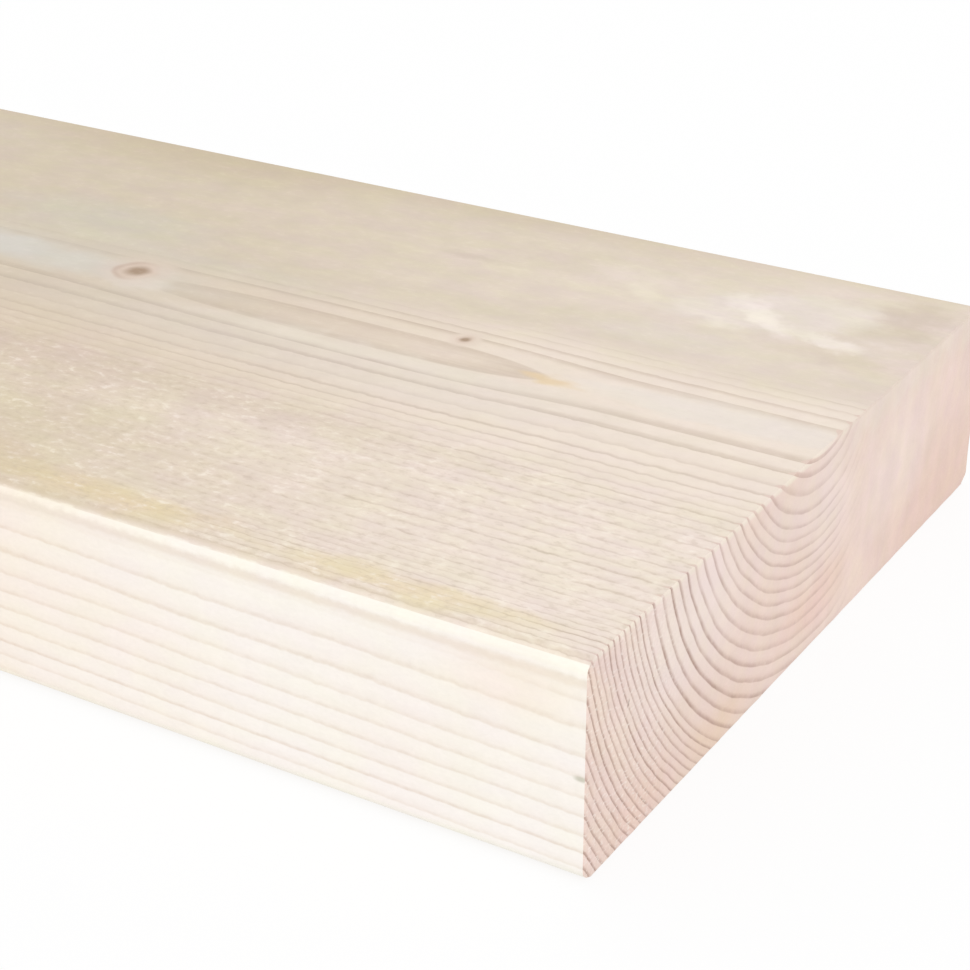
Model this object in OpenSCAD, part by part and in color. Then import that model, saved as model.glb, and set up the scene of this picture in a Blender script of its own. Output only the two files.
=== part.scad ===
// Timber plank: one length of sawn softwood with eased long edges and square-cut ends.
// It lies flat, with its length along X and its broad faces up and down.
// The origin is at the middle of the bottom face.

/* [Stock] */
// Length between the two sawn ends
plank_length = 2400; // [600:300:6000]
// Width of the two broad faces
plank_width = 195; // [70:5:295]
// Thickness between the two broad faces
plank_thickness = 47; // [22:1:97]

/* [Edges] */
// Radius of the easing along the four long edges
arris_radius = 3; // [0.5:0.5:8]

/* [Hidden] */

// Segments of a full circle in previews
$fn = 64;

// Colour of the sawn faces
timber_colour = [0.88, 0.80, 0.70];

// Places of the four rounding centres, as multiples of half the width and half the thickness
corner_signs = [[-1, -1], [1, -1], [1, 1], [-1, 1]];

// A rectangle with rounded corners, centred on the origin
module eased_section(width, thickness, radius) {
    square([width - 2 * radius, thickness], center = true);
    square([width, thickness - 2 * radius], center = true);
    for (s = corner_signs)
        translate([s[0] * (width / 2 - radius), s[1] * (thickness / 2 - radius)])
            circle(r = radius);
}

module plank() {
    color(timber_colour)
        translate([0, 0, plank_thickness / 2])
            rotate([90, 0, 90])
                linear_extrude(height = plank_length, center = true)
                    eased_section(plank_width, plank_thickness, arris_radius);
}

plank();
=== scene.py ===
import math
import bpy
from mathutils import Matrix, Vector


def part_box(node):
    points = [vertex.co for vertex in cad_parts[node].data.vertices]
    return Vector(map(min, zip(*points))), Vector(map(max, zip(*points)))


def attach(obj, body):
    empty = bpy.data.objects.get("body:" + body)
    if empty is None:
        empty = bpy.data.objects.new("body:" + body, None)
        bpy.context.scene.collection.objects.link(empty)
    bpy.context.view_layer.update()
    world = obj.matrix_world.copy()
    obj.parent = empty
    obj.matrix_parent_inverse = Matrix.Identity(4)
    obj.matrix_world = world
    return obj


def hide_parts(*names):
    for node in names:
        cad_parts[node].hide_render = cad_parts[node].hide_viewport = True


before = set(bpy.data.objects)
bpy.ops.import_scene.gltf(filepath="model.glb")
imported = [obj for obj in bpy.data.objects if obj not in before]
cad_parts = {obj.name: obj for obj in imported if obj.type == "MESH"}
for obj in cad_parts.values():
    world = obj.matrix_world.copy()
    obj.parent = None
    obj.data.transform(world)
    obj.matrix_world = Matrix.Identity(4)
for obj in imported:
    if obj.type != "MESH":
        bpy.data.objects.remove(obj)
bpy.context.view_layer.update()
low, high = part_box("plank")
size = high - low
middle = (low + high) / 2
mm = 0.001
touch = 0.01 * mm    # points this close lie on the same face
print("frame loaded, plank is", [round(s / mm) for s in size], "mm")


# colours are written as 8-bit screen values
def paint(red, green, blue):
    def linear(c):
        c = c / 255
        return c / 12.92 if c <= 0.04045 else ((c + 0.055) / 1.055) ** 2.4
    return (linear(red), linear(green), linear(blue), 1.0)


# camera, fitted to the edges of the plank in the photo
view = {
    "azimuth": 31.24,
    "elevation": 26.38,
    "fromCorner": (160.5, -299.4, 249.7),   # mm from the near bottom corner of the sawn end
    "focalPixels": 2279.0,
    "framePixels": 970.0,
    "sensor": 36.0,
    "clipStart": 0.01,
}


def pointing(azimuth, elevation):
    a = math.radians(azimuth)
    e = math.radians(elevation)
    return Vector((math.sin(a) * math.cos(e), -math.cos(a) * math.cos(e), math.sin(e)))


def aimAlong(obj, direction):
    obj.rotation_mode = "QUATERNION"
    obj.rotation_quaternion = direction.to_track_quat("-Z", "Y")


def placeCamera():
    data = bpy.data.cameras.new("photoCamera")
    data.sensor_width = view["sensor"]
    data.lens = view["focalPixels"] / view["framePixels"] * view["sensor"]
    data.clip_start = view["clipStart"]
    camera = bpy.data.objects.new("photoCamera", data)
    bpy.context.scene.collection.objects.link(camera)
    corner = Vector((high.x, low.y, low.z))
    camera.location = corner + Vector(view["fromCorner"]) * mm
    aimAlong(camera, -pointing(view["azimuth"], view["elevation"]))
    bpy.context.scene.camera = camera


placeCamera()
print("camera placed")


# the plank's mesh
plank = {
    "arris": 3.0 * mm,         # easing of the long edges
    "arrisSteps": 6,
    "broadTilt": 0.75,         # the eased corners belong to the broad faces down to this tilt
    "endEase": 0.4 * mm,       # wear on the rims of the sawn ends
    "endEaseSteps": 2,
    "columns": 60,             # strips across a broad face
    "layers": 15,              # strips across a narrow edge
    "rows": 320,               # strips along the length
    "ripple": 0.12 * mm,       # depth of the shallow waves in the sawn faces
    "rippleSize": 26.0 * mm,
    "arrisWear": 0.45 * mm,    # how far the eased edges wander
    "arrisWearSize": 14.0 * mm,
    "rimWear": 0.3 * mm,       # crumbled fibres on the rims of the ends
    "rimWearSize": 5.0 * mm,
    "stretch": 5.0,            # waves are longer along the grain by this much
    "smoothUnder": 35.0,       # degrees between faces that are shaded as one
}


def deselectAll():
    bpy.ops.object.select_all(action="DESELECT")


def selectEdges(obj, wanted):
    bpy.ops.mesh.select_mode(type="EDGE")
    bpy.ops.mesh.select_all(action="DESELECT")
    bpy.ops.object.mode_set(mode="OBJECT")
    verts = obj.data.vertices
    for edge in obj.data.edges:
        edge.select = wanted(verts[edge.vertices[0]].co, verts[edge.vertices[1]].co)
    bpy.ops.object.mode_set(mode="EDIT")


def runsAlong(axis):
    def test(a, b):
        d = b - a
        return abs(d[axis]) > 0.9 * d.length
    return test


def insetFrom(point, axis):
    return min(point[axis] - low[axis], high[axis] - point[axis])


def onLongCorner(a, b):
    onCorner = all(insetFrom(p, 1) < touch and insetFrom(p, 2) < touch for p in (a, b))
    return onCorner and abs(a.x - b.x) > touch


def onOutline(p):
    close = 2 * touch
    r = plank["arris"]
    y = insetFrom(p, 1)
    z = insetFrom(p, 2)
    if y < r and z < r:
        return math.hypot(r - y, r - z) > r - close
    return min(y, z) < close


def onEndRim(a, b):
    return all(insetFrom(p, 0) < touch and onOutline(p) for p in (a, b))


def onArris(p):
    r = plank["arris"]
    return 0.2 * r < insetFrom(p, 1) < 0.95 * r and 0.02 * r < insetFrom(p, 2) < 0.95 * r


def onWornRim(p):
    return 0.02 * plank["endEase"] < insetFrom(p, 0) < 0.9 * plank["endEase"]


# material 0 is for the broad faces with half of each eased corner, 1 for the narrow edges, 2 for the ends
def sortFaces(obj):
    for face in obj.data.polygons:
        if insetFrom(face.center, 0) < plank["endEase"]:
            face.material_index = 2
        elif abs(face.normal.z) < plank["broadTilt"]:
            face.material_index = 1


# pushes the chosen vertices in by up to depth, in waves drawn out along the grain
def wear(obj, name, depth, waveSize, chosen):
    group = obj.vertex_groups.new(name=name)
    group.add([v.index for v in obj.data.vertices if chosen(v.co)], 1.0, "REPLACE")
    waves = bpy.data.textures.new(name, "CLOUDS")
    waves.noise_scale = waveSize
    waves.noise_depth = 2
    bpy.ops.object.empty_add(location=(0, 0, 0))
    grain = bpy.context.active_object
    grain.scale = (plank["stretch"], 1, 1)
    bpy.context.view_layer.update()
    deselectAll()
    obj.select_set(True)
    bpy.context.view_layer.objects.active = obj
    push = obj.modifiers.new(name, "DISPLACE")
    push.texture = waves
    push.texture_coords = "OBJECT"
    push.texture_coords_object = grain
    push.vertex_group = name
    push.mid_level = 0.0
    push.strength = -depth
    bpy.ops.object.modifier_apply(modifier=name)
    obj.vertex_groups.remove(obj.vertex_groups[name])
    bpy.data.objects.remove(grain)
    bpy.data.textures.remove(waves)


def modelPlank():
    deselectAll()
    bpy.ops.mesh.primitive_cube_add(size=1, location=middle)
    obj = bpy.context.active_object
    obj.name = "timberPlank"
    bpy.ops.transform.resize(value=size)
    bpy.ops.object.transform_apply(location=True, rotation=True, scale=True)
    bpy.ops.object.mode_set(mode="EDIT")
    for axis, count in ((1, plank["columns"]), (2, plank["layers"]), (0, plank["rows"])):
        selectEdges(obj, runsAlong(axis))
        bpy.ops.mesh.subdivide(number_cuts=count - 1)
    selectEdges(obj, onLongCorner)
    bpy.ops.mesh.bevel(offset=plank["arris"], segments=plank["arrisSteps"], profile=0.5)
    selectEdges(obj, onEndRim)
    bpy.ops.mesh.bevel(offset=plank["endEase"], segments=plank["endEaseSteps"], profile=0.5)
    bpy.ops.object.mode_set(mode="OBJECT")
    for name in ("broadFace", "narrowEdge", "endGrain"):
        obj.data.materials.append(bpy.data.materials.new(name))
    sortFaces(obj)
    wear(obj, "sawRipple", plank["ripple"], plank["rippleSize"], lambda p: True)
    wear(obj, "arrisWear", plank["arrisWear"], plank["arrisWearSize"], onArris)
    wear(obj, "rimWear", plank["rimWear"], plank["rimWearSize"], onWornRim)
    bpy.ops.object.shade_smooth_by_angle(angle=math.radians(plank["smoothUnder"]))
    print("plank modelled,", len(obj.data.polygons), "faces")
    return obj


# the map for baking, with a strip along the plank for each long face and the two ends below them
bakeStrips = {
    "upper": (0.66, 0.995),
    "lower": (0.335, 0.655),
    "near": (0.235, 0.33),
    "far": (0.135, 0.23),
    "ends": (0.005, 0.13),
    "endStarts": (0.005, 0.505),
    "endWidth": 0.49,
}


def layBakeMap(obj):
    layer = obj.data.uv_layers.new(name="OFBake")
    for face in obj.data.polygons:
        for index in face.loop_indices:
            point = obj.data.vertices[obj.data.loops[index].vertex_index].co
            along, across, up = [(point[k] - low[k]) / size[k] for k in range(3)]
            if face.material_index == 2:
                endStart = bakeStrips["endStarts"][1 if face.center.x > middle.x else 0]
                strip, u, v = "ends", endStart + bakeStrips["endWidth"] * across, up
            elif face.material_index == 1:
                strip, u, v = "near" if face.normal.y < 0 else "far", along, up
            else:
                strip, u, v = "upper" if face.normal.z > 0 else "lower", along, across
            start, stop = bakeStrips[strip]
            layer.data[index].uv = (u, start + (stop - start) * v)


plankObject = modelPlank()
layBakeMap(plankObject)


# short ways of adding nodes
def put(tree, kind, **settings):
    node = tree.nodes.new("ShaderNode" + kind)
    for name, value in settings.items():
        setattr(node, name, value)
    return node


def feed(tree, socket, value):
    if isinstance(value, bpy.types.NodeSocket):
        tree.links.new(value, socket)
    else:
        socket.default_value = value


def calc(tree, operation, *values):
    node = put(tree, "Math", operation=operation)
    for socket, value in zip(node.inputs, values):
        feed(tree, socket, value)
    return node.outputs[0]


def vector(tree, operation, *values):
    node = put(tree, "VectorMath", operation=operation)
    for socket, value in zip(node.inputs, values):
        feed(tree, socket, value)
    return node.outputs["Value" if operation in ("DOT_PRODUCT", "LENGTH") else "Vector"]


# a value between start and end becomes one between first and last
def ease(tree, value, start, end, first=0.0, last=1.0, curve="SMOOTHSTEP"):
    node = put(tree, "MapRange", interpolation_type=curve)
    names = ("Value", "From Min", "From Max", "To Min", "To Max")
    for name, setting in zip(names, (value, start, end, first, last)):
        feed(tree, node.inputs[name], setting)
    return node.outputs["Result"]


def cloud(tree, point, cell, detail=2.0, rough=0.5, coloured=False):
    node = put(tree, "TexNoise", noise_dimensions="3D")
    feed(tree, node.inputs["Vector"], vector(tree, "DIVIDE", point, cell))
    node.inputs["Scale"].default_value = 1.0
    node.inputs["Detail"].default_value = detail
    node.inputs["Roughness"].default_value = rough
    return node.outputs["Color" if coloured else "Fac"]


def blend(tree, factor, first, second, how="MIX"):
    node = put(tree, "Mix", data_type="RGBA", blend_type=how)
    feed(tree, node.inputs[0], factor)
    feed(tree, node.inputs[6], first)
    feed(tree, node.inputs[7], second)
    return node.outputs[2]


# lays a tone over a colour
def tint(tree, colour, factor, tone, how="MIX"):
    return blend(tree, factor, colour, paint(*tone), how)


def times(tree, *values):
    result = values[0]
    for value in values[1:]:
        result = calc(tree, "MULTIPLY", result, value)
    return result


def total(tree, *values):
    result = values[0]
    for value in values[1:]:
        result = calc(tree, "ADD", result, value)
    return result


# a noise swinging about zero, by about plus or minus amount
def swing(tree, noise, amount):
    return calc(tree, "MULTIPLY", calc(tree, "SUBTRACT", noise, 0.5), 4.0 * amount)


def split(tree, point):
    axes = put(tree, "SeparateXYZ")
    feed(tree, axes.inputs[0], point)
    return axes.outputs


def mixValue(tree, factor, first, second):
    node = put(tree, "Mix", data_type="FLOAT")
    feed(tree, node.inputs[0], factor)
    feed(tree, node.inputs[2], first)
    feed(tree, node.inputs[3], second)
    return node.outputs[0]


def mixVector(tree, factor, first, second):
    node = put(tree, "Mix", data_type="VECTOR")
    feed(tree, node.inputs[0], factor)
    feed(tree, node.inputs[4], first)
    feed(tree, node.inputs[5], second)
    return node.outputs[1]


# shifts a point about by a noise, to fray the borders of what is drawn at it
def fray(tree, point, cell, amount, detail=1.5):
    noise = cloud(tree, point, cell, detail, 0.6, coloured=True)
    noise = vector(tree, "SUBTRACT", noise, (0.5, 0.5, 0.5))
    return vector(tree, "MULTIPLY_ADD", noise, amount, point)


def newGroup(name, inputs, outputs):
    group = bpy.data.node_groups.new(name, "ShaderNodeTree")
    for side, sockets in (("INPUT", inputs), ("OUTPUT", outputs)):
        for title, kind in sockets.items():
            group.interface.new_socket(name=title, in_out=side, socket_type="NodeSocket" + kind)
    start = group.nodes.new("NodeGroupInput")
    end = group.nodes.new("NodeGroupOutput")
    return group, start.outputs, end.inputs


def use(tree, group, **values):
    node = tree.nodes.new("ShaderNodeGroup")
    node.node_tree = group
    for name, value in values.items():
        feed(tree, node.inputs[name], value)
    return node.outputs


# inside the timber, lengths are in mm from the sawn end, the near edge and the upper face
# and the trunk's pith runs over the upper face, so that the rings are arcs about it
rings = {
    "pithAbove": 24.05,
    "pithAcross": 101.9,
    "climb": 28.0,                  # rise of the pith over two lengths of the plank
    "bow": 9.0,                     # sideways swing of the pith
    "bowLength": 6000.0,
    "crest": 1.1,                   # waves of the pith, which leave islands on the upper face
    "troughs": (0.25, -0.34),       # along the plank and by the sawn end
    "troughsMeet": (-150.0, -90.0),
    "waveLength": 258.0,
    "waveAt": -118.0,
    "waveFades": (22.0, 75.0),      # radii over which the waves die out
    "drift": 1.6,                   # keeps the islands from coming at even steps
    "driftLength": 1130.0,
    "bands": [                      # from one radius to another, the rings lie this far apart
        (0.0, 26.3, 2.43),
        (26.3, 29.2, 2.9),
        (29.2, 38.0, 3.9),
        (38.0, 58.0, 2.7),
        (58.0, 84.0, 3.2),
        (84.0, 180.0, 1.9),
    ],
    "heart": (33.0, 27.0),          # the rings inside these radii are stronger and smoother
    "core": (24.3, 23.9),           # the ring that the islands are cut from
    "lopsided": 8.0,                # the rings are closer together on the far side
    "lopsidedFrom": (8.0, 30.0),
    "wander": 0.5,                  # slow and quick strays of the rings
    "wanderCell": (420.0, 38.0, 38.0),
    "wobble": 0.2,
    "wobbleCell": (70.0, 8.0, 8.0),
    "teethCell": (3.0, 18.0, 18.0),
    "teethFrom": (25.0, 32.0),      # radii over which the saw's steps set in
    "summer": (0.3, 0.72),          # parts of a year's growth in which the wood darkens
    "winter": (0.9, 0.94),          # and at which it turns pale again, outside the heart and in it
    "lineFull": 0.91,
    "heartLine": -0.16,             # the lines begin earlier in the heart by this part of a year
}


def makeRings():
    g, i, o = newGroup("growthRings", {"Point": "Vector", "Rise": "Float", "Teeth": "Float"},
                       {name: "Float" for name in ("Body", "Line", "Vigour", "Heart", "Core")})
    x, y, z = split(g, i["Point"])
    bowed = calc(g, "SINE", calc(g, "MULTIPLY", x, -2 * math.pi / rings["bowLength"]))
    across = calc(g, "SUBTRACT", y, calc(g, "MULTIPLY_ADD", bowed, rings["bow"], rings["pithAcross"]))
    across = total(g, across, ease(g, across, *rings["lopsidedFrom"], 0.0, rings["lopsided"]))
    rise = ease(g, x, 0.0, -2 * size.x / mm, rings["pithAbove"], rings["pithAbove"] + rings["climb"])
    up = calc(g, "SUBTRACT", rise, z)

    def fromPith(height):
        return calc(g, "SQRT", total(g, calc(g, "POWER", across, 2.0), calc(g, "POWER", height, 2.0)))

    along = calc(g, "SUBTRACT", x, rings["waveAt"])
    drift = calc(g, "COSINE", calc(g, "MULTIPLY", along, 2 * math.pi / rings["driftLength"]))
    turn = calc(g, "MULTIPLY", along, 2 * math.pi / rings["waveLength"])
    turn = calc(g, "MULTIPLY_ADD", drift, -rings["drift"], calc(g, "ADD", turn, rings["drift"]))
    trough = ease(g, x, *rings["troughsMeet"], *rings["troughs"])
    wave = ease(g, calc(g, "COSINE", turn), -0.3, 0.95, trough, rings["crest"])
    wave = times(g, wave, ease(g, fromPith(up), *rings["waveFades"], 1.0, 0.1))
    radius = fromPith(calc(g, "SUBTRACT", up, wave))
    heart = ease(g, radius, *rings["heart"])
    loose = ease(g, heart, 0.0, 1.0, 1.0, 0.15)
    wander = times(g, swing(g, cloud(g, i["Point"], rings["wanderCell"]), rings["wander"]), loose)
    wobble = times(g, swing(g, cloud(g, i["Point"], rings["wobbleCell"]), rings["wobble"]), loose)
    teeth = times(g, swing(g, cloud(g, i["Point"], rings["teethCell"]), 1.0), i["Teeth"])
    teeth = times(g, teeth, ease(g, radius, *rings["teethFrom"]))
    radius = total(g, radius, wander, wobble, teeth)

    # rings are counted so that one begins where the first band ends, and the fraction is the time of year
    age = -rings["bands"][0][1] / rings["bands"][0][2]
    for inner, outer, gap in rings["bands"]:
        age = calc(g, "ADD", ease(g, radius, inner, outer, 0.0, (outer - inner) / gap, "LINEAR"), age)
    season = calc(g, "FRACT", age)
    winter = ease(g, season, ease(g, heart, 0.0, 1.0, *rings["winter"]), 1.0, 1.0, 0.0)
    lottery = put(g, "TexWhiteNoise", noise_dimensions="1D")
    feed(g, lottery.inputs["W"], calc(g, "FLOOR", age))
    feed(g, o["Body"], times(g, ease(g, season, *rings["summer"]), winter))
    core = ease(g, radius, *rings["core"])
    begins = calc(g, "MULTIPLY_ADD", calc(g, "SUBTRACT", heart, core), rings["heartLine"], i["Rise"])
    feed(g, o["Line"], times(g, ease(g, season, begins, rings["lineFull"]), winter))
    feed(g, o["Vigour"], calc(g, "MAXIMUM", calc(g, "POWER", lottery.outputs["Value"], 2.0), heart))
    feed(g, o["Heart"], heart)
    feed(g, o["Core"], core)
    return g


# branches in pairs, each with its place along the plank, its leans across and along it in degrees,
# its half thickness about 50 mm from the pith and its reach, also from the pith
knots = [
    [{"at": -180.5, "lean": 8.5, "climb": -14.0, "girth": 8.6, "reach": 120.0},
     {"at": -92.0, "lean": 21.4, "climb": -5.0, "girth": 3.3, "reach": 40.0}],
    [{"at": -618.0, "lean": -38.0, "climb": -16.0, "girth": 11.0, "reach": 160.0},
     {"at": -634.0, "lean": 52.0, "climb": -16.0, "girth": 9.0, "reach": 160.0}],
    [{"at": -1085.0, "lean": 14.0, "climb": -18.0, "girth": 12.0, "reach": 160.0},
     {"at": -1102.0, "lean": -63.0, "climb": -14.0, "girth": 9.5, "reach": 170.0}],
    [{"at": -1346.0, "lean": 33.0, "climb": -8.0, "girth": 3.4, "reach": 60.0},
     {"at": -1391.0, "lean": -26.0, "climb": -6.0, "girth": 3.0, "reach": 50.0}],
    [{"at": -1588.0, "lean": -20.0, "climb": -17.0, "girth": 10.0, "reach": 160.0},
     {"at": -1603.0, "lean": 61.0, "climb": -15.0, "girth": 8.5, "reach": 170.0}],
    [{"at": -2052.0, "lean": 27.0, "climb": -18.0, "girth": 11.5, "reach": 160.0},
     {"at": -2064.0, "lean": -48.0, "climb": -15.0, "girth": 9.0, "reach": 160.0}],
]


# one branch is a cone from the pith outwards, and the grain flows round it
def makeBranch():
    inputs = {"Point": "Vector", "Start": "Vector", "Aim": "Vector", "Girth": "Float", "Reach": "Float"}
    g, i, o = newGroup("branchKnot", inputs, {"Ratio": "Float", "Push": "Vector", "Bark": "Float"})
    away = vector(g, "SUBTRACT", i["Point"], i["Start"])
    along = vector(g, "DOT_PRODUCT", away, i["Aim"])
    aside = vector(g, "SUBTRACT", away, vector(g, "MULTIPLY", i["Aim"], along))
    girth = calc(g, "MULTIPLY", i["Girth"], ease(g, along, 0.0, 80.0, 0.3, 1.35, "LINEAR"))

    # the ratio is 1 at the bark and grows past the branch's two ends
    stops = ease(g, calc(g, "SUBTRACT", along, i["Reach"]), 0.0, 4.0, 0.0, 6.0)
    ratio = calc(g, "DIVIDE", vector(g, "LENGTH", aside), girth)
    ratio = total(g, ratio, stops, ease(g, along, 6.0, 0.0, 0.0, 6.0))
    grip = calc(g, "EXPONENT", calc(g, "MULTIPLY", calc(g, "SUBTRACT", ratio, 1.0), -2.0))
    grip = times(g, calc(g, "MINIMUM", grip, 1.0), girth, -0.7)
    outward = vector(g, "NORMALIZE", aside)
    feed(g, o["Ratio"], ratio)
    feed(g, o["Push"], vector(g, "MULTIPLY", outward, grip))

    # thick branches show more bark, most of it on the side away from the sawn end
    bark = ease(g, vector(g, "DOT_PRODUCT", outward, (-1.0, 0.0, 0.0)), -0.7, 0.7, 0.15, 1.0)
    feed(g, o["Bark"], times(g, bark, ease(g, i["Girth"], 3.5, 8.0, 0.2, 1.0)))
    return g


def branchLine(knot):
    bowed = math.sin(-2 * math.pi * knot["at"] / rings["bowLength"])
    start = (knot["at"], rings["pithAcross"] + rings["bow"] * bowed, rings["pithAbove"])
    lean = math.radians(knot["lean"])
    aim = Vector((math.tan(math.radians(knot["climb"])), math.sin(lean), -math.cos(lean))).normalized()
    return start, aim, (knot["girth"], knot["reach"], 0.0)


# only the pair of branches nearest along the plank is worked out
def makeKnots(branchGroup):
    outputs = {"Ratio": "Float", "Bark": "Float", "Grain": "Vector"}
    g, i, o = newGroup("allKnots", {"Point": "Vector"}, outputs)
    x = split(g, i["Point"])[0]
    passed = []
    for before, after in zip(knots, knots[1:]):
        passed.append(calc(g, "LESS_THAN", x, (before[1]["at"] + after[0]["at"]) / 2))
    ragged = fray(g, i["Point"], (9.0, 5.0, 5.0), (1.8, 1.8, 1.8))
    ratio = 9.0
    bark = 0.0
    grain = i["Point"]
    for which in (0, 1):
        start, aim, form = branchLine(knots[0][which])
        for beyond, pair in zip(passed, knots[1:]):
            nextStart, nextAim, nextForm = branchLine(pair[which])
            start = mixVector(g, beyond, start, nextStart)
            aim = mixVector(g, beyond, aim, nextAim)
            form = mixVector(g, beyond, form, nextForm)
        girth, reach = split(g, form)[:2]
        branch = use(g, branchGroup, Point=ragged, Start=start, Aim=aim, Girth=girth, Reach=reach)
        bark = mixValue(g, calc(g, "LESS_THAN", branch["Ratio"], ratio), bark, branch["Bark"])
        ratio = calc(g, "MINIMUM", ratio, branch["Ratio"])
        grain = vector(g, "ADD", grain, branch["Push"])
    feed(g, o["Ratio"], ratio)
    feed(g, o["Bark"], bark)
    feed(g, o["Grain"], grain)
    return g


# fibres of the cut wood, by cell and detail, drawn out along the grain and seen as dots on the ends
fibres = {
    "Streak": ((46.0, 1.2, 1.2), 3.0),
    "Fuzz": ((2.8, 1.7, 1.7), 3.0),
    "Speck": ((1.3, 0.8, 0.8), 2.0),
    "Mottle": ((10.0, 7.0, 7.0), 3.0),
    "Hue": ((16.0, 9.0, 9.0), 2.0),
    "Blotch": ((110.0, 34.0, 34.0), 2.0),
    "Vein": ((520.0, 11.0, 11.0), 2.0),
}


def makeFibres():
    g, i, o = newGroup("sawnFibres", {"Point": "Vector"}, {name: "Float" for name in fibres})
    for name, (cell, detail) in fibres.items():
        feed(g, o[name], cloud(g, i["Point"], cell, detail, 0.6))
    return g


# a patch with a soft border, turned about the upright axis
def makePatch():
    inputs = {"Point": "Vector", "Centre": "Vector", "Reach": "Vector", "Turn": "Float", "Firm": "Float"}
    g, i, o = newGroup("softPatch", inputs, {"Mask": "Float"})
    turned = put(g, "VectorRotate", rotation_type="Z_AXIS")
    feed(g, turned.inputs["Vector"], vector(g, "SUBTRACT", i["Point"], i["Centre"]))
    feed(g, turned.inputs["Angle"], i["Turn"])
    offset = vector(g, "DIVIDE", turned.outputs["Vector"], i["Reach"])
    feed(g, o["Mask"], ease(g, vector(g, "LENGTH", offset), 1.0, i["Firm"]))
    return g


ringGroup = makeRings()
knotGroup = makeKnots(makeBranch())
fibreGroup = makeFibres()
patchGroup = makePatch()
print("wood groups made, with", len(knots), "pairs of knots")


def openMaterial(name):
    material = bpy.data.materials[name]
    material.use_nodes = True
    tree = material.node_tree
    return tree, tree.nodes["Principled BSDF"]


def timberPoint(tree):
    coords = put(tree, "TexCoord")
    shift = (-high.x / mm, -low.y / mm, -high.z / mm)
    return vector(tree, "MULTIPLY_ADD", coords.outputs["Object"], (1 / mm,) * 3, shift)


# what a surface shows of the wood: its place in the timber, knots, rings and fibres
def showWood(tree, surface):
    point = timberPoint(tree)
    knot = use(tree, knotGroup, Point=point)
    ring = use(tree, ringGroup, Point=knot["Grain"], Rise=surface["lineRise"], Teeth=surface["lineTeeth"])
    return point, knot, ring, use(tree, fibreGroup, Point=point)


# firm is the share of the reach inside which a patch is at its full amount
def patch(at, reach, tone=None, amount=1.0, firm=0.1, turn=0.0):
    turn = math.radians(turn)
    return {"at": at, "reach": reach, "tone": tone, "amount": amount, "firm": firm, "turn": turn}


def patchMask(tree, point, spot):
    return use(tree, patchGroup, Point=point, Centre=spot["at"], Reach=spot["reach"],
               Turn=spot["turn"], Firm=spot["firm"])["Mask"]


def layPatches(tree, colour, point, patches):
    for spot in patches:
        factor = calc(tree, "MULTIPLY", patchMask(tree, point, spot), spot["amount"])
        colour = tint(tree, colour, factor, spot["tone"])
    return colour


# a knot's ratio grows from 0 in its middle to 1 at its bark
def layKnots(tree, colour, knot, tones):
    ratio = knot["Ratio"]
    colour = tint(tree, colour, ease(tree, ratio, 2.4, 1.0, 0.0, tones["haloAmount"]), tones["halo"])
    colour = tint(tree, colour, ease(tree, ratio, 1.2, 0.6, 0.0, 0.8), tones["wood"])
    rim = calc(tree, "ABSOLUTE", calc(tree, "SUBTRACT", ratio, 0.95))
    rim = times(tree, ease(tree, rim, 0.3, 0.0), knot["Bark"], tones["barkAmount"])
    colour = tint(tree, colour, rim, tones["bark"])
    return tint(tree, colour, ease(tree, ratio, 0.85, 0.2), tones["heart"])


# a noise takes the colour from pinkish to olive, and a factor makes it lighter or darker
def shade(tree, colour, factor, hue, amount):
    pinkish = (1.0, 1 - 0.25 * amount, 1 + 0.3 * amount, 1.0)
    olive = (1.0, 1 + 0.25 * amount, 1 - 0.5 * amount, 1.0)
    cast = blend(tree, ease(tree, hue, 0.25, 0.75), pinkish, olive)
    return vector(tree, "MULTIPLY", vector(tree, "MULTIPLY", colour, cast), factor)


def relief(tree, shader, height, strength):
    bump = put(tree, "Bump")
    bump.inputs["Strength"].default_value = strength
    bump.inputs["Distance"].default_value = mm
    feed(tree, bump.inputs["Height"], height)
    feed(tree, shader.inputs["Normal"], bump.outputs["Normal"])


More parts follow.
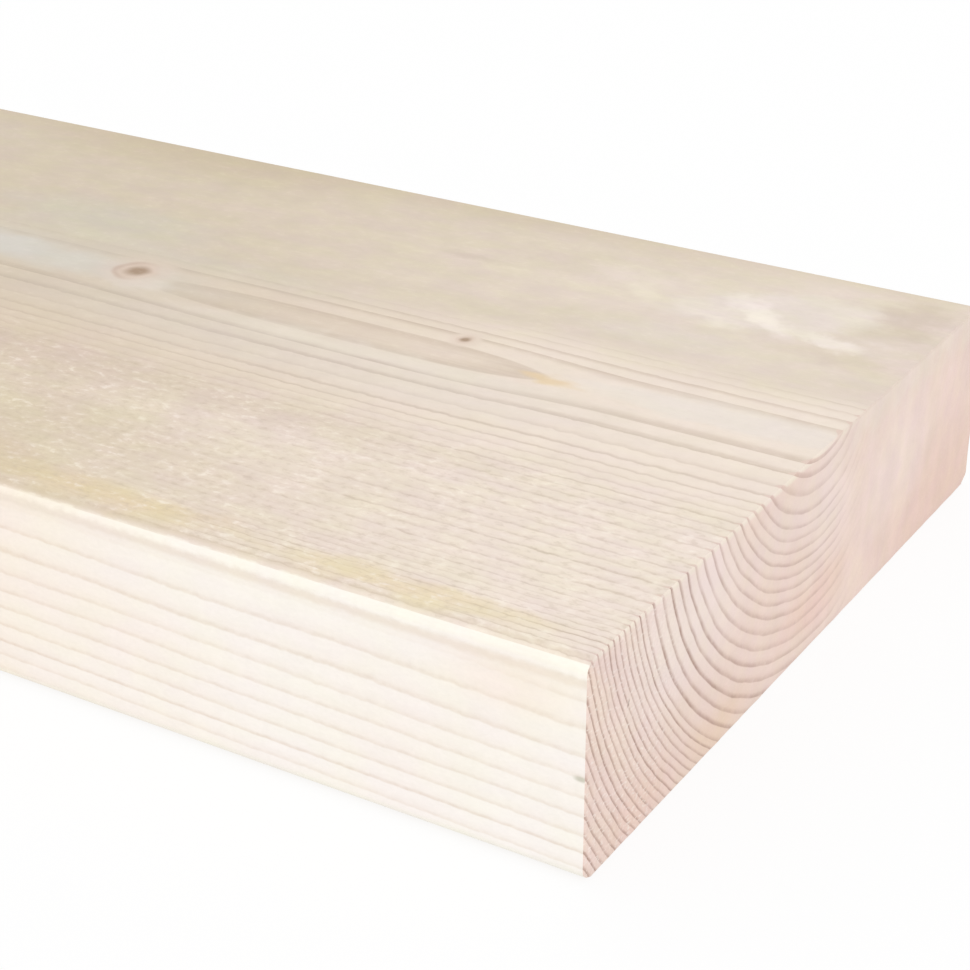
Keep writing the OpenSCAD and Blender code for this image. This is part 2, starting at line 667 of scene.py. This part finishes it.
# broad faces, sawn, with a calm far side away from the near edge, weathered and painted darker as shade
broad = {
    "early": (242, 228, 215),            # pale wood of a year's start, darker body and closing line
    "body": (224, 206, 190),
    "line": (202, 183, 166),
    "lineRise": 0.64,                    # the part of a year's growth after which its line begins
    "lineTeeth": 0.28,                   # steps in the lines, left by the saw
    "hair": (250, 240, 227),
    "fibreShadow": (200, 183, 163),
    "weatheredAndShaded": (216, 207, 185),
    "shaded": (215, 202, 183),
    "farRim": (205, 188, 160),
    # the eased corner's tones, pale in part as a painted highlight
    "arris": (249, 242, 230),
    "arrisAlong": (246, 228, 206),
    "seam": (208, 191, 166),             # the dark line beside the eased near corner
    "seamAt": 2.3,
    "endTone": (229, 206, 194),
    "farEndTone": (229, 212, 201),
    "roughness": 0.8,
    "specular": 0.25,
    "reliefStrength": 0.6,
    # places along, across and down the timber, between which one finish gives way to another
    "upperFrom": (-30.0, -10.0),
    "farSide": (112.0, 130.0),
    "farAlong": (-900.0, -380.0),
    "farStepsBack": (-130.0, -20.0),     # by the sawn end, the far side begins a little further off
    "roughSide": (78.0, 48.0),
    "wornAlong": (-20.0, -120.0),
    "wornAcross": (5.0, 20.0),
    "linesAlong": (-20.0, -240.0),
    "linesFaint": (102.0, 110.0),
    "crispAlong": (-120.0, -50.0),
    "crispAcross": (16.0, 8.0),
    "hairAlong": (-80.0, -200.0),
    "weatherShadeAlong": (10.0, -330.0),
    "weatherShadeAcross": (30.0, 115.0),
    "weatherShadeEnds": (-280.0, -640.0),
    "shadedAlong": (-60.0, -340.0),
    "rimSide": (178.0, 197.0),
    "seamSets": (0.0, -200.0),
    "arrisTurns": (-60.0, -220.0),
    "reliefSide": (90.0, 50.0),
    "unseen": (-240.0, -480.0),          # past here, veins take the place of stains
    "island": patch((-100, 103, 0), (77, 20, 9), firm=0.94),
    "islandsFrom": (-230.0, -260.0),     # past here, islands are left as they come
    "knot": {"halo": (226, 206, 193), "haloAmount": 0.4, "bark": (202, 178, 162), "barkAmount": 0.7,
             "wood": (224, 203, 188), "heart": (173, 148, 127)},
    "patchFray": ((13.0, 6.0, 6.0), (24.0, 9.0, 0.0)),
    "patches": [
        patch((-215, 96, 0), (130, 34, 9), (212, 202, 187), 0.42),           # grey band with the large knot
        patch((-250, 105.5, 0), (110, 13, 9), (216, 212, 204), 0.85, 0.2),
        patch((-24, 105, 0), (50, 8, 9), (236, 227, 219), 0.6, 0.3),         # pale band at the sawn end
        patch((-66, 102.6, 0), (8.5, 4.4, 9), (231, 207, 170), 0.8, 0.2),    # yellow tip of the island
        patch((-218, 133, 0), (48, 17, 9), (207, 203, 188), 0.5),
        patch((-112, 7.5, 0), (42, 6.5, 9), (231, 212, 173), 0.75, 0.2),     # yellow stains by the near edge
        patch((-44, 7, 0), (44, 5.5, 9), (236, 219, 180), 0.65, 0.2),
        patch((-165, 9, 0), (55, 14, 9), (219, 200, 164), 0.65, 0.2),
        patch((-165, 27, 0), (85, 30, 9), (216, 202, 172), 0.4),
        patch((-164, 103, 0), (26, 6.5, 9), (226, 212, 197), 0.22),          # paler wood about the island
        patch((-183, 101, 0), (14, 9, 9), (229, 220, 209), 0.5),
        patch((-115, 86, 0), (115, 17, 9), (230, 225, 222), 0.2, 0.2),
        patch((-56, 138, 0), (32, 11, 9), (229, 219, 208), 0.4),
        patch((-222, 188, 0), (85, 24, 9), (200, 184, 154), 0.45),           # dull places
        patch((-190, 57, 0), (190, 12, 9), (215, 196, 180), 0.5, 0.2),
        patch((-10, 176, 0), (15, 17, 9), (211, 195, 176), 0.6, 0.4),
        patch((-12, 146, 0), (24, 9, 9), (216, 201, 181), 0.5, 0.2),
        patch((-105, 94.5, 0), (85, 5.5, 9), (236, 226, 212), 0.5, 0.2),     # pale line under the island
        patch((-215, 119, 0), (120, 11, 9), (214, 206, 190), 0.5, 0.2),
    ],
    "streakFray": ((7.0, 6.0, 6.0), (13.0, 10.0, 0.0), 4.0),
    "streaks": [                         # pale streaks by the far corner of the shown end
        patch((-41, 164, 0), (32, 15, 9), (237, 226, 217), 0.6, 0.6, -20),
        patch((-76, 168, 0), (24, 12, 9), (238, 225, 211), 0.5, 0.2),
        patch((-42, 160.5, 0), (20, 5.5, 9), (248, 237, 227), 0.9, 0.2, 40),
        patch((-50, 152.5, 0), (12, 4.5, 9), (243, 231, 219), 0.7, 0.1, 25),
        patch((-23, 154, 0), (13, 5, 9), (245, 234, 223), 0.9, 0.2, 15),
        patch((-73, 159.5, 0), (11, 5, 9), (240, 228, 213), 0.5, 0.1, 45),
        patch((-10, 158, 0), (12, 3, 9), (236, 224, 210), 0.4, 0.1, 5),
        patch((-121, 158.5, 0), (13, 3, 9), (200, 184, 164), 0.3, 0.2),
    ],
}


def makeBroadFace():
    tree, shader = openMaterial("broadFace")
    point, knot, ring, fibre = showWood(tree, broad)
    x, y, z = split(tree, point)
    upper = ease(tree, z, *broad["upperFrom"])

    # the far side of the upper face has lost its lines, and the near side is rough and fuzzy
    border = total(tree, y, swing(tree, fibre["Blotch"], 5.0), swing(tree, fibre["Mottle"], 3.0))
    fades = total(tree, border, ease(tree, x, *broad["farStepsBack"], 0.0, -4.0))
    far = times(tree, ease(tree, fades, *broad["farSide"]), upper,
                ease(tree, x, *broad["farAlong"], 0.45, 1.0))
    rough = times(tree, ease(tree, border, *broad["roughSide"]), ease(tree, upper, 0.0, 1.0, 0.35, 1.0))
    worn = times(tree, rough, ease(tree, x, *broad["wornAlong"], 0.35, 1.0),
                 ease(tree, y, *broad["wornAcross"], 0.35, 1.0))

    # lines fade away from the sawn end and round the knots, and the fuzz breaks them up
    clear = ease(tree, knot["Ratio"], 1.1, 2.3)
    broken = ease(tree, fibre["Fuzz"], 0.36, 0.58, 0.42, 0.0)
    crisp = times(tree, ease(tree, y, *broad["crispAcross"]), ease(tree, x, *broad["crispAlong"]))
    island = patchMask(tree, point, broad["island"])
    shown = calc(tree, "MAXIMUM", island, ease(tree, x, *broad["islandsFrom"]))
    strength = times(
        tree,
        ease(tree, ring["Vigour"], 0.0, 1.0, 0.27, 0.59, "LINEAR"),
        clear,
        ease(tree, far, 0.0, 1.0, 1.0, 0.06),
        mixValue(tree, worn, 1.0, broken),
        ease(tree, x, *broad["linesAlong"], 1.2, ease(tree, ring["Heart"], 0.0, 1.0, 0.65, 1.1)),
        ease(tree, crisp, 0.0, 1.0, 1.0, 1.7),
        ease(tree, fibre["Streak"], 0.3, 0.7, 0.75, 1.15),
        mixValue(tree, ring["Core"], 1.0, ease(tree, shown, 0.0, 1.0, 0.0, 0.65)),
        ease(tree, y, *broad["linesFaint"], 1.0, 0.75),
    )
    body = times(
        tree,
        ring["Body"],
        clear,
        mixValue(tree, ring["Core"], 0.14, ease(tree, shown, 0.0, 1.0, 0.02, 0.33)),
        ease(tree, far, 0.0, 1.0, 1.0, 0.2),
        ease(tree, fibre["Streak"], 0.3, 0.7, 0.7, 1.2),
    )
    colour = tint(tree, paint(*broad["early"]), body, broad["body"])
    colour = tint(tree, colour, times(tree, ring["Line"], strength), broad["line"])

    # tones that change along and across the plank, partly painted shade, and an even one on the underside
    limit = ease(tree, y, *broad["weatherShadeAcross"], 0.42, 0.9)
    limit = ease(tree, x, *broad["weatherShadeEnds"], limit, 0.42)
    weatherShade = calc(tree, "MINIMUM", ease(tree, x, *broad["weatherShadeAlong"], 0.0, 0.9), limit)
    weatherShade = mixValue(tree, upper, 0.25, weatherShade)
    weatherShade = total(tree, weatherShade, swing(tree, fibre["Blotch"], 0.1))
    # weathering with painted shade: the tone darkens away from the sawn end, as if the light fell off there
    colour = tint(tree, colour, weatherShade, broad["weatheredAndShaded"], "MULTIPLY")
    # painted shade: the far side of the upper face is darker further from the sawn end
    shaded = total(tree, ease(tree, x, *broad["shadedAlong"], 0.5, 0.85), swing(tree, fibre["Blotch"], 0.2))
    colour = tint(tree, colour, times(tree, far, shaded), broad["shaded"])
    rim = times(tree, ease(tree, border, *broad["rimSide"]), upper, 0.45)
    colour = tint(tree, colour, rim, broad["farRim"])
    colour = layPatches(tree, colour, fray(tree, point, *broad["patchFray"]), broad["patches"])
    colour = layPatches(tree, colour, fray(tree, point, *broad["streakFray"]), broad["streaks"])
    colour = layKnots(tree, colour, knot, broad["knot"])

    # the lines are notched where they run out over the sawn end
    notch = times(tree, ring["Line"], ease(tree, far, 0.0, 1.0, -1.6, -0.2))
    notched = ease(tree, calc(tree, "SUBTRACT", x, notch), -0.5, 0.0, 0.0, 0.9)
    colour = tint(tree, colour, notched, broad["endTone"])
    faded = ease(tree, total(tree, x, swing(tree, fibre["Mottle"], 5.0)), -9.0, 1.0, 0.0, 0.7)
    colour = tint(tree, colour, times(tree, faded, far), broad["farEndTone"])

    # torn fibres, pale where they stand up, with painted shadow between them
    torn = ease(tree, rough, 0.0, 1.0, 0.2, 1.0)
    hair = times(tree, ease(tree, fibre["Fuzz"], 0.5, 0.7), torn,
                 ease(tree, x, *broad["hairAlong"], 0.5, 0.36),
                 ease(tree, fibre["Mottle"], 0.38, 0.62, 0.4, 1.3))
    colour = tint(tree, colour, hair, broad["hair"])
    fibreShadow = times(tree, ease(tree, fibre["Fuzz"], 0.48, 0.3), torn, 0.3)
    colour = tint(tree, colour, fibreShadow, broad["fibreShadow"])

    # the near corner, where the sawn face runs out in a ragged line, and the eased corner's pale tone,
    # partly a painted highlight
    ragged = total(tree, y, swing(tree, fibre["Fuzz"], 0.35))
    seam = calc(tree, "ABSOLUTE", calc(tree, "SUBTRACT", ragged, broad["seamAt"]))
    seam = times(tree, ease(tree, seam, 0.9, 0.1, 0.0, 0.5), ease(tree, x, *broad["seamSets"], 0.5, 1.0))
    colour = tint(tree, colour, seam, broad["seam"])
    arris = tint(tree, paint(*broad["arris"]), ease(tree, x, *broad["arrisTurns"]), broad["arrisAlong"])
    strip = total(tree, ragged, ease(tree, x, -150.0, 0.0, 0.0, 0.5))
    colour = blend(tree, ease(tree, strip, 1.7, 1.1), colour, arris)

    # uneven tone and hue, most on the rough side and the far side
    lively = total(tree, rough, far)
    mottle = times(tree, swing(tree, fibre["Mottle"], 1.0), ease(tree, lively, 0.0, 1.0, 0.028, 0.042))
    vein = times(tree, swing(tree, fibre["Vein"], 0.03), ease(tree, x, *broad["unseen"]))
    factor = total(tree, 1.0, swing(tree, fibre["Streak"], 0.008), mottle, vein,
                   swing(tree, fibre["Speck"], 0.008))
    hue = mixValue(tree, ease(tree, lively, 0.0, 1.0, 0.35, 1.6), 0.5, fibre["Hue"])
    feed(tree, shader.inputs["Base Color"], shade(tree, colour, factor, hue, 0.07))
    shader.inputs["Specular IOR Level"].default_value = broad["specular"]
    roughness = total(tree, broad["roughness"], swing(tree, fibre["Streak"], 0.06))
    feed(tree, shader.inputs["Roughness"], roughness)
    height = total(tree, times(tree, fibre["Streak"], 0.08), times(tree, fibre["Speck"], 0.06),
                   times(tree, fibre["Fuzz"], ease(tree, y, *broad["reliefSide"], 0.1, 0.3)))
    relief(tree, shader, height, broad["reliefStrength"])


# narrow edges and the outer half of the eased corners, smoother, and paler in part as painted light
narrow = {
    "early": (254, 248, 241),
    "body": (249, 240, 230),
    "line": (232, 217, 202),
    "lineRise": 0.66,
    "lineTeeth": 0.08,
    "linesBelow": (-6.0, -10.0),         # depths between which the lines set in
    "weatheredAndShaded": (252, 236, 220),
    "weatherShadeAlong": (-50.0, -260.0),
    "weatherShadeAcross": (60.0, 130.0),      # the far edge is weathered all along
    "weatherShadeMost": 0.5,
    # the eased corners, pale in part as a painted highlight
    "arris": (253, 248, 238),
    "arrisFoot": (239, 225, 210),
    "roughness": 0.72,
    "specular": 0.25,
    "reliefStrength": 0.5,
    "unseen": (-240.0, -480.0),
    "knot": {"halo": (236, 222, 206), "haloAmount": 0.5, "bark": (204, 180, 158), "barkAmount": 0.8,
             "wood": (222, 200, 180), "heart": (190, 163, 140)},
    "patches": [
        patch((-1.2, 0, -24.4), (2.2, 4, 0.9), (190, 187, 166), 0.7, 0.2),   # dark mark at the end
        patch((-16, 0, -9), (22, 4, 9), (252, 232, 214), 0.35),
    ],
}


def makeNarrowEdge():
    tree, shader = openMaterial("narrowEdge")
    point, knot, ring, fibre = showWood(tree, narrow)
    x, y, z = split(tree, point)
    strength = times(tree, ease(tree, ring["Vigour"], 0.0, 1.0, 0.4, 0.9, "LINEAR"),
                     ease(tree, fibre["Fuzz"], 0.3, 0.65, 1.0, 0.6), ease(tree, z, *narrow["linesBelow"]))
    colour = tint(tree, paint(*narrow["early"]), times(tree, ring["Body"], 0.4), narrow["body"])
    colour = tint(tree, colour, times(tree, ring["Line"], strength), narrow["line"])

    # the eased corners, pale partly as a painted highlight, with a faint line at the foot of the upper ones
    r = plank["arris"] / mm
    inY = calc(tree, "MINIMUM", y, calc(tree, "SUBTRACT", size.y / mm, y))
    inZ = calc(tree, "MINIMUM", calc(tree, "MULTIPLY", z, -1.0), calc(tree, "ADD", z, size.z / mm))
    corner = ease(tree, total(tree, inY, inZ), 1.05 * r, 0.8 * r)
    colour = tint(tree, colour, corner, narrow["arris"])
    # weathering with painted shade: the edges darken away from the sawn end, as if the light fell off there
    weatherShade = ease(tree, x, *narrow["weatherShadeAlong"])
    weatherShade = calc(tree, "MAXIMUM", weatherShade, ease(tree, y, *narrow["weatherShadeAcross"]))
    weatherShade = calc(tree, "MINIMUM", weatherShade, narrow["weatherShadeMost"])
    weatherShade = total(tree, weatherShade, swing(tree, fibre["Blotch"], 0.15))
    colour = tint(tree, colour, weatherShade, narrow["weatheredAndShaded"], "MULTIPLY")
    foot = total(tree, z, swing(tree, fibre["Fuzz"], 0.4), ease(tree, x, -150.0, 0.0, 2.6, 4.6))
    foot = ease(tree, calc(tree, "ABSOLUTE", foot), 1.6, 0.2, 0.0, 0.7)
    colour = tint(tree, colour, foot, narrow["arrisFoot"])
    colour = layPatches(tree, colour, point, narrow["patches"])
    colour = layKnots(tree, colour, knot, narrow["knot"])

    vein = times(tree, swing(tree, fibre["Vein"], 0.015), ease(tree, x, *narrow["unseen"]))
    factor = total(tree, 1.0, vein, swing(tree, fibre["Streak"], 0.006), swing(tree, fibre["Mottle"], 0.016),
                   swing(tree, fibre["Fuzz"], 0.014), swing(tree, fibre["Speck"], 0.018))
    feed(tree, shader.inputs["Base Color"], shade(tree, colour, factor, fibre["Hue"], 0.04))
    shader.inputs["Specular IOR Level"].default_value = narrow["specular"]
    roughness = total(tree, narrow["roughness"], swing(tree, fibre["Streak"], 0.06))
    feed(tree, shader.inputs["Roughness"], roughness)
    height = total(tree, times(tree, fibre["Streak"], 0.06), times(tree, fibre["Fuzz"], 0.05))
    relief(tree, shader, height, narrow["reliefStrength"])


# sawn ends, where the rings stand out and the wood is pinker
sawnEnd = {
    "early": (239, 216, 205),
    "body": (231, 206, 194),
    "line": (166, 132, 119),
    "lineRise": 0.55,
    "lineTeeth": 0.0,
    "hair": (250, 238, 230),
    "hairCell": (9.0, 1.5, 0.6),
    "topTone": (243, 230, 216),
    "farTone": (234, 219, 207),
    "farLip": (214, 196, 182),
    "roughness": 0.85,
    "specular": 0.2,
    "reliefStrength": 0.5,
    "shownEnd": (-300.0, -100.0),        # only the end that the photo shows is brushed and pitted
    "calmSide": (96.0, 132.0),           # across the plank, the brushed side without lines
    "pittedSide": (42.0, 22.0),          # and the pitted side
    "linesAcross": (15.0, 95.0),
    "unevenCell": (9.0, 5.0, 8.0),
    "brushedCell": (9.0, 8.0, 26.0),
    "knot": {"halo": (222, 196, 182), "haloAmount": 0.4, "bark": (196, 168, 150), "barkAmount": 0.8,
             "wood": (212, 186, 168), "heart": (182, 154, 134)},
    "patchFray": ((9.0, 12.0, 9.0), (0.0, 14.0, 9.0)),
    "patches": [
        patch((0, 38, -10), (9, 44, 28), (246, 230, 222), 0.85),     # paler and pinker places
        patch((0, 22, -43), (9, 22, 12), (234, 203, 190), 0.6),
        patch((0, 106, -12), (9, 20, 26), (243, 226, 217), 0.7),
        patch((0, 176, -44), (9, 62, 32), (233, 202, 188), 0.7),
        patch((0, 144, -20), (9, 32, 22), (241, 222, 213), 0.7),
        patch((0, 100, -36), (9, 26, 10), (238, 205, 192), 0.6),
        patch((0, 55, -43), (9, 24, 9), (235, 207, 182), 0.6),
        patch((0, 84, -11), (9, 26, 12), (240, 222, 212), 0.6),
        patch((0, 15.5, -16.5), (9, 0.6, 0.9), (140, 122, 112), 0.7, 0.3),   # a dark pit
    ],
}


def makeEndGrain():
    tree, shader = openMaterial("endGrain")
    point, knot, ring, fibre = showWood(tree, sawnEnd)
    x, y, z = split(tree, point)
    shownEnd = ease(tree, x, *sawnEnd["shownEnd"])
    border = total(tree, y, swing(tree, fibre["Blotch"], 5.0), swing(tree, fibre["Mottle"], 5.0))
    calm = times(tree, ease(tree, border, *sawnEnd["calmSide"]), shownEnd)
    pitted = times(tree, ease(tree, border, *sawnEnd["pittedSide"]), shownEnd)

    # rings, with the uneven tones of the wood under their lines
    uneven = ease(tree, cloud(tree, point, sawnEnd["unevenCell"], 3.0, 0.6), 0.35, 0.62, 0.7, 1.15)
    strength = times(tree, ease(tree, ring["Vigour"], 0.0, 1.0, 0.52, 0.88, "LINEAR"), uneven,
                     ease(tree, calm, 1.0, 0.0), ease(tree, border, *sawnEnd["linesAcross"], 1.0, 0.35))
    body = times(tree, ring["Body"], ease(tree, calm, 0.0, 1.0, 0.7, 0.1))
    colour = tint(tree, paint(*sawnEnd["early"]), body, sawnEnd["body"])
    colour = layPatches(tree, colour, fray(tree, point, *sawnEnd["patchFray"]), sawnEnd["patches"])
    colour = tint(tree, colour, times(tree, ring["Line"], strength), sawnEnd["line"])
    colour = layKnots(tree, colour, knot, sawnEnd["knot"])

    # the upper rim, pale between the lines, and faded on the calm side
    tongue = times(tree, ease(tree, ring["Line"], 0.0, 0.6, 1.0, 0.0), ease(tree, calm, 0.0, 1.0, 1.0, 0.3))
    colour = tint(tree, colour, times(tree, ease(tree, z, -1.6, -0.4), tongue), sawnEnd["topTone"])
    faded = ease(tree, total(tree, z, swing(tree, fibre["Mottle"], 4.0)), -11.0, 0.0, 0.0, 0.8)
    colour = tint(tree, colour, times(tree, faded, calm), sawnEnd["farTone"])
    colour = tint(tree, colour, times(tree, ease(tree, z, -0.8, -0.1, 0.0, 0.35), calm), sawnEnd["farLip"])

    # pale torn hairs, pits and brush marks
    hairs = ease(tree, cloud(tree, point, sawnEnd["hairCell"], 2.0, 0.6), 0.52, 0.7)
    colour = tint(tree, colour, times(tree, hairs, ease(tree, pitted, 0.0, 1.0, 0.1, 0.6)), sawnEnd["hair"])
    speck = times(tree, swing(tree, fibre["Speck"], 0.05), ease(tree, pitted, 0.0, 1.0, 0.25, 1.0))
    brushed = times(tree, swing(tree, cloud(tree, point, sawnEnd["brushedCell"], 3.0, 0.5), 0.05), calm)
    factor = total(tree, 1.0, swing(tree, fibre["Mottle"], 0.035), swing(tree, fibre["Blotch"], 0.012),
                   speck, brushed)
    feed(tree, shader.inputs["Base Color"], shade(tree, colour, factor, fibre["Hue"], 0.05))
    shader.inputs["Roughness"].default_value = sawnEnd["roughness"]
    shader.inputs["Specular IOR Level"].default_value = sawnEnd["specular"]
    relief(tree, shader, times(tree, fibre["Speck"], 0.12), sawnEnd["reliefStrength"])


makeBroadFace()
makeNarrowEdge()
makeEndGrain()
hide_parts("plank")
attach(plankObject, "root")
print("plank dressed")


# floor and light, where the floor is seen by the camera alone and light still reaches the underside
studio = {
    "floorSize": 60.0,
    "floorGap": 0.2 * mm,
    "white": (1, 1, 1, 1),
    "shadow": 0.2,             # how much of the floor's tone comes from the light on it
    "ambient": 0.82,
    "suns": [
        {"name": "keySun", "azimuth": 40.0, "elevation": 35.0, "share": 0.26, "spread": 40.0},
        {"name": "backSun", "azimuth": 213.0, "elevation": 8.0, "share": 0.1, "spread": 60.0},
    ],
}


def makeFloor():
    deselectAll()
    bpy.ops.mesh.primitive_plane_add(size=studio["floorSize"], location=(0, 0, low.z - studio["floorGap"]))
    floor = bpy.context.active_object
    floor.name = "studioFloor"
    floor.visible_diffuse = False
    floor.visible_glossy = False
    floor.visible_shadow = False
    material = bpy.data.materials.new("studioFloor")
    material.use_nodes = True
    tree = material.node_tree
    tree.nodes.clear()
    matte = put(tree, "BsdfDiffuse")
    matte.inputs["Color"].default_value = studio["white"]
    glow = put(tree, "Emission")
    lit = put(tree, "MixShader")
    lit.inputs[0].default_value = studio["shadow"]
    feed(tree, lit.inputs[1], glow.outputs[0])
    feed(tree, lit.inputs[2], matte.outputs[0])
    clear = put(tree, "BsdfTransparent")
    both = put(tree, "MixShader")
    feed(tree, both.inputs[0], put(tree, "NewGeometry").outputs["Backfacing"])
    feed(tree, both.inputs[1], lit.outputs[0])
    feed(tree, both.inputs[2], clear.outputs[0])
    feed(tree, put(tree, "OutputMaterial").inputs[0], both.outputs[0])
    floor.data.materials.append(material)


def lightStudio():
    world = bpy.data.worlds.new("studioWorld")
    bpy.context.scene.world = world
    world.use_nodes = True
    tree = world.node_tree
    path = put(tree, "LightPath")
    seen = calc(tree, "MAXIMUM", path.outputs["Is Camera Ray"], path.outputs["Is Glossy Ray"])
    seen = calc(tree, "MAXIMUM", seen, path.outputs["Is Transmission Ray"])
    background = tree.nodes["Background"]
    background.inputs["Color"].default_value = studio["white"]
    feed(tree, background.inputs["Strength"], ease(tree, seen, 0.0, 1.0, studio["ambient"], 1.0, "LINEAR"))
    for sun in studio["suns"]:
        data = bpy.data.lights.new(sun["name"], "SUN")
        data.energy = sun["share"] * math.pi
        data.angle = math.radians(sun["spread"])
        lamp = bpy.data.objects.new(sun["name"], data)
        aimAlong(lamp, -pointing(sun["azimuth"], sun["elevation"]))
        bpy.context.scene.collection.objects.link(lamp)


makeFloor()
lightStudio()
bpy.context.scene.view_settings.view_transform = "Standard"
print("studio lit")
